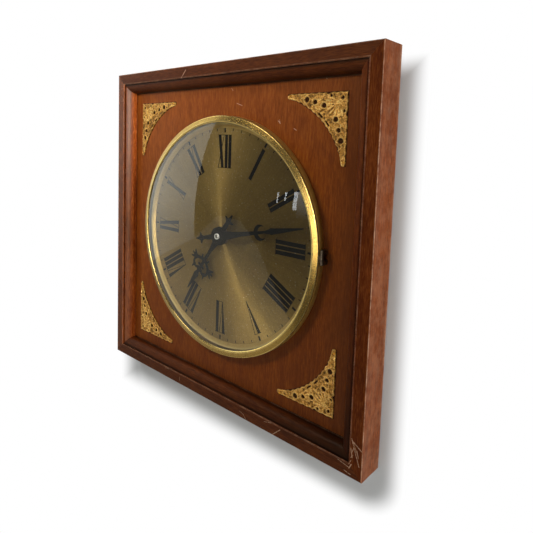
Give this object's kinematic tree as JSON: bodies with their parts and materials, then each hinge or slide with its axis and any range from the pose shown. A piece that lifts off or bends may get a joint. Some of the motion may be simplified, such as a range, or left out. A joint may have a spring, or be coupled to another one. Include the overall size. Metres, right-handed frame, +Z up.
{
  "type": "wall clock",
  "caption": "Square mitred wooden wall clock with a hinged round glass door, gilt dial with Roman numerals, pierced corner ornaments and a battery quartz movement.",
  "frame": {"origin": "centre of the hanger plate's round hole, on the wall plane", "axes": "+Z up, +Y into the wall, +X to the right as seen from the front"},
  "size_m": [0.3, 0.0374, 0.3],
  "materials": {
    "frame_wood": "satin lacquered mahogany",
    "panel_wood": "satin lacquered mahogany veneer",
    "plain_wood": "bare sawn softwood",
    "steel": "plain steel",
    "zinc": "zinc plated",
    "gilt": "stamped and gilt",
    "dial_brass": "sunray brushed and lacquered",
    "print": "printed black",
    "bezel_brass": "polished",
    "hinge_metal": "dark patina",
    "glass": "clear, convex",
    "hand_black": "satin black",
    "nut_silver": "bright",
    "case_plastic": "moulded",
    "knob_plastic": "moulded",
    "washer": "moulded",
    "nut_brass": "turned",
    "wheel_plastic": "moulded",
    "magnet": "sintered",
    "iron": "stamped",
    "copper": "enamelled winding",
    "board": "solder resist",
    "can": "drawn can",
    "cell": "plain sleeve",
    "contact": "nickel plated"
  },
  "bodies": {
    "clock_case": {"top_rail": "frame_wood", "bottom_rail": "frame_wood", "left_rail": "frame_wood", "right_rail": "frame_wood", "face_panel": "panel_wood", "hanging_cleat": "plain_wood", "mitre_nails": "steel", "panel_brads": "steel", "hanger_screws": "steel", "hanger_plate": "zinc", "corner_ornament_upper_right": "gilt", "corner_ornament_upper_left": "gilt", "corner_ornament_lower_left": "gilt", "corner_ornament_lower_right": "gilt", "ornament_pins": "gilt", "dial_plate": "dial_brass", "dial_brads": "dial_brass", "dial_print": "print", "base_ring": "bezel_brass", "base_ring_screws": "bezel_brass", "catch_spring": "bezel_brass", "hinge_leaf_fixed": "hinge_metal", "hinge_pin": "hinge_metal", "movement_front_case": "case_plastic", "movement_back_case": "case_plastic", "mounting_washer": "washer", "mounting_nut": "nut_brass", "stator": "iron", "motor_coil": "copper", "circuit_board": "board", "quartz_crystal": "can", "battery_cell": "cell", "battery_contact_positive": "contact", "battery_contact_negative": "contact"},
    "bezel_door": {"bezel_ring": "bezel_brass", "glass_lens": "glass", "lens_retainer": "bezel_brass", "hinge_leaf_door": "hinge_metal"},
    "minute_train": {"minute_hand": "hand_black", "hand_nut": "nut_silver", "center_wheel": "wheel_plastic"},
    "hour_train": {"hour_hand": "hand_black", "hour_wheel": "wheel_plastic"},
    "motion_train": {"motion_wheel": "wheel_plastic", "set_knob": "knob_plastic"},
    "third_train": {"third_wheel": "wheel_plastic"},
    "seconds_train": {"seconds_wheel": "wheel_plastic"},
    "intermediate_train": {"intermediate_wheel": "wheel_plastic"},
    "rotor_train": {"rotor_pinion": "wheel_plastic", "rotor_magnet": "magnet"}
  },
  "joints": [
    {"name": "door_hinge", "type": "hinge", "parent": "clock_case", "child": "bezel_door", "pos_m": [0.1072, -0.02205, -0.122], "axis": [0, 0, 1], "range_deg": [0, 110]},
    {"name": "minute_turn", "type": "hinge", "parent": "clock_case", "child": "minute_train", "pos_m": [0, 0, -0.122], "axis": [0, 1, 0], "continuous": true},
    {"name": "hour_turn", "type": "hinge", "parent": "clock_case", "child": "hour_train", "pos_m": [0, 0, -0.122], "axis": [0, 1, 0], "continuous": true},
    {"name": "set_knob_turn", "type": "hinge", "parent": "clock_case", "child": "motion_train", "pos_m": [0.0116, 0, -0.122], "axis": [0, 1, 0], "continuous": true},
    {"name": "third_wheel_turn", "type": "hinge", "parent": "clock_case", "child": "third_train", "pos_m": [-0.0116, 0, -0.122], "axis": [0, 1, 0], "continuous": true},
    {"name": "seconds_wheel_turn", "type": "hinge", "parent": "clock_case", "child": "seconds_train", "pos_m": [0, 0, -0.122], "axis": [0, 1, 0], "continuous": true},
    {"name": "intermediate_wheel_turn", "type": "hinge", "parent": "clock_case", "child": "intermediate_train", "pos_m": [0, 0, -0.1104], "axis": [0, 1, 0], "continuous": true},
    {"name": "rotor_turn", "type": "hinge", "parent": "clock_case", "child": "rotor_train", "pos_m": [0.00773, 0, -0.10833], "axis": [0, 1, 0], "continuous": true}
  ],
  "couplings": [
    {"joint": "hour_turn", "follows": "minute_turn", "ratio": 0.083333},
    {"joint": "set_knob_turn", "follows": "minute_turn", "ratio": -0.33333},
    {"joint": "third_wheel_turn", "follows": "minute_turn", "ratio": -8},
    {"joint": "seconds_wheel_turn", "follows": "minute_turn", "ratio": 60},
    {"joint": "intermediate_wheel_turn", "follows": "minute_turn", "ratio": -360},
    {"joint": "rotor_turn", "follows": "minute_turn", "ratio": 1800}
  ]
}
